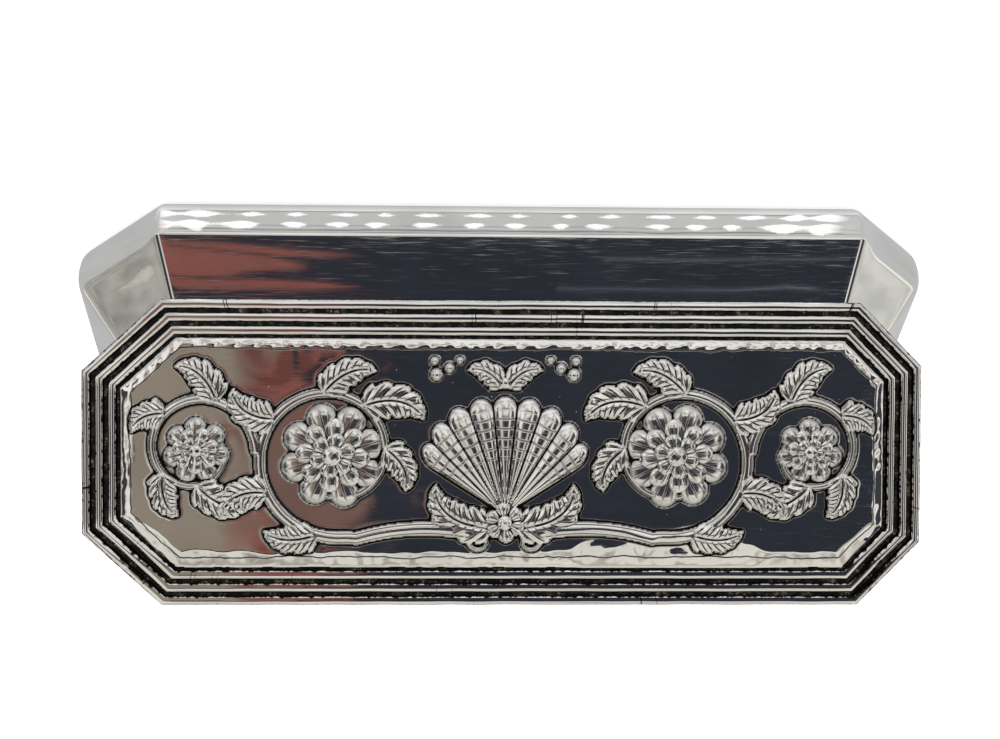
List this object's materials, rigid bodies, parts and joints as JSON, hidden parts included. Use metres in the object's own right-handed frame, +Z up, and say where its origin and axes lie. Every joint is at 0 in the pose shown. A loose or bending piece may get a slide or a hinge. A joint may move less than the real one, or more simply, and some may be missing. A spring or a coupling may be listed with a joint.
{
  "type": "hinged silver box",
  "caption": "Long eight-sided keepsake box with a flared wall, a reeded and embossed lid on a rear knuckle hinge, and a padded lining.",
  "frame": {"origin": "centre of the base plate's underside, on the surface the box stands on", "axes": "+X along the length, +Y towards the hinge, +Z up out of the mouth"},
  "size_m": [0.138, 0.0552, 0.0568],
  "materials": {
    "polished_silver": "polished",
    "worked_silver": "satin",
    "velvet": "pile",
    "silk": "sheen"
  },
  "bodies": {
    "body": {"body_shell": "polished_silver", "base_plate": "polished_silver", "mouth_wire": "polished_silver", "body_hinge_bearer": "worked_silver", "body_knuckle_left": "worked_silver", "body_knuckle_middle": "worked_silver", "body_knuckle_right": "worked_silver", "hinge_pin": "worked_silver", "floor_pad": "velvet", "wall_lining": "velvet"},
    "lid": {"lid_plate": "polished_silver", "outer_reed": "polished_silver", "middle_reed": "polished_silver", "inner_reed": "polished_silver", "lid_panel": "polished_silver", "lid_skirt": "polished_silver", "lid_hinge_bearer": "worked_silver", "lid_knuckle_left": "worked_silver", "lid_knuckle_right": "worked_silver", "lid_lining": "silk"}
  },
  "joints": [
    {"name": "lid_hinge", "type": "hinge", "parent": "body", "child": "lid", "pos_m": [0, 0.021, 0.0187], "axis": [-1, 0, 0], "range_deg": [-54, 56]}
  ]
}
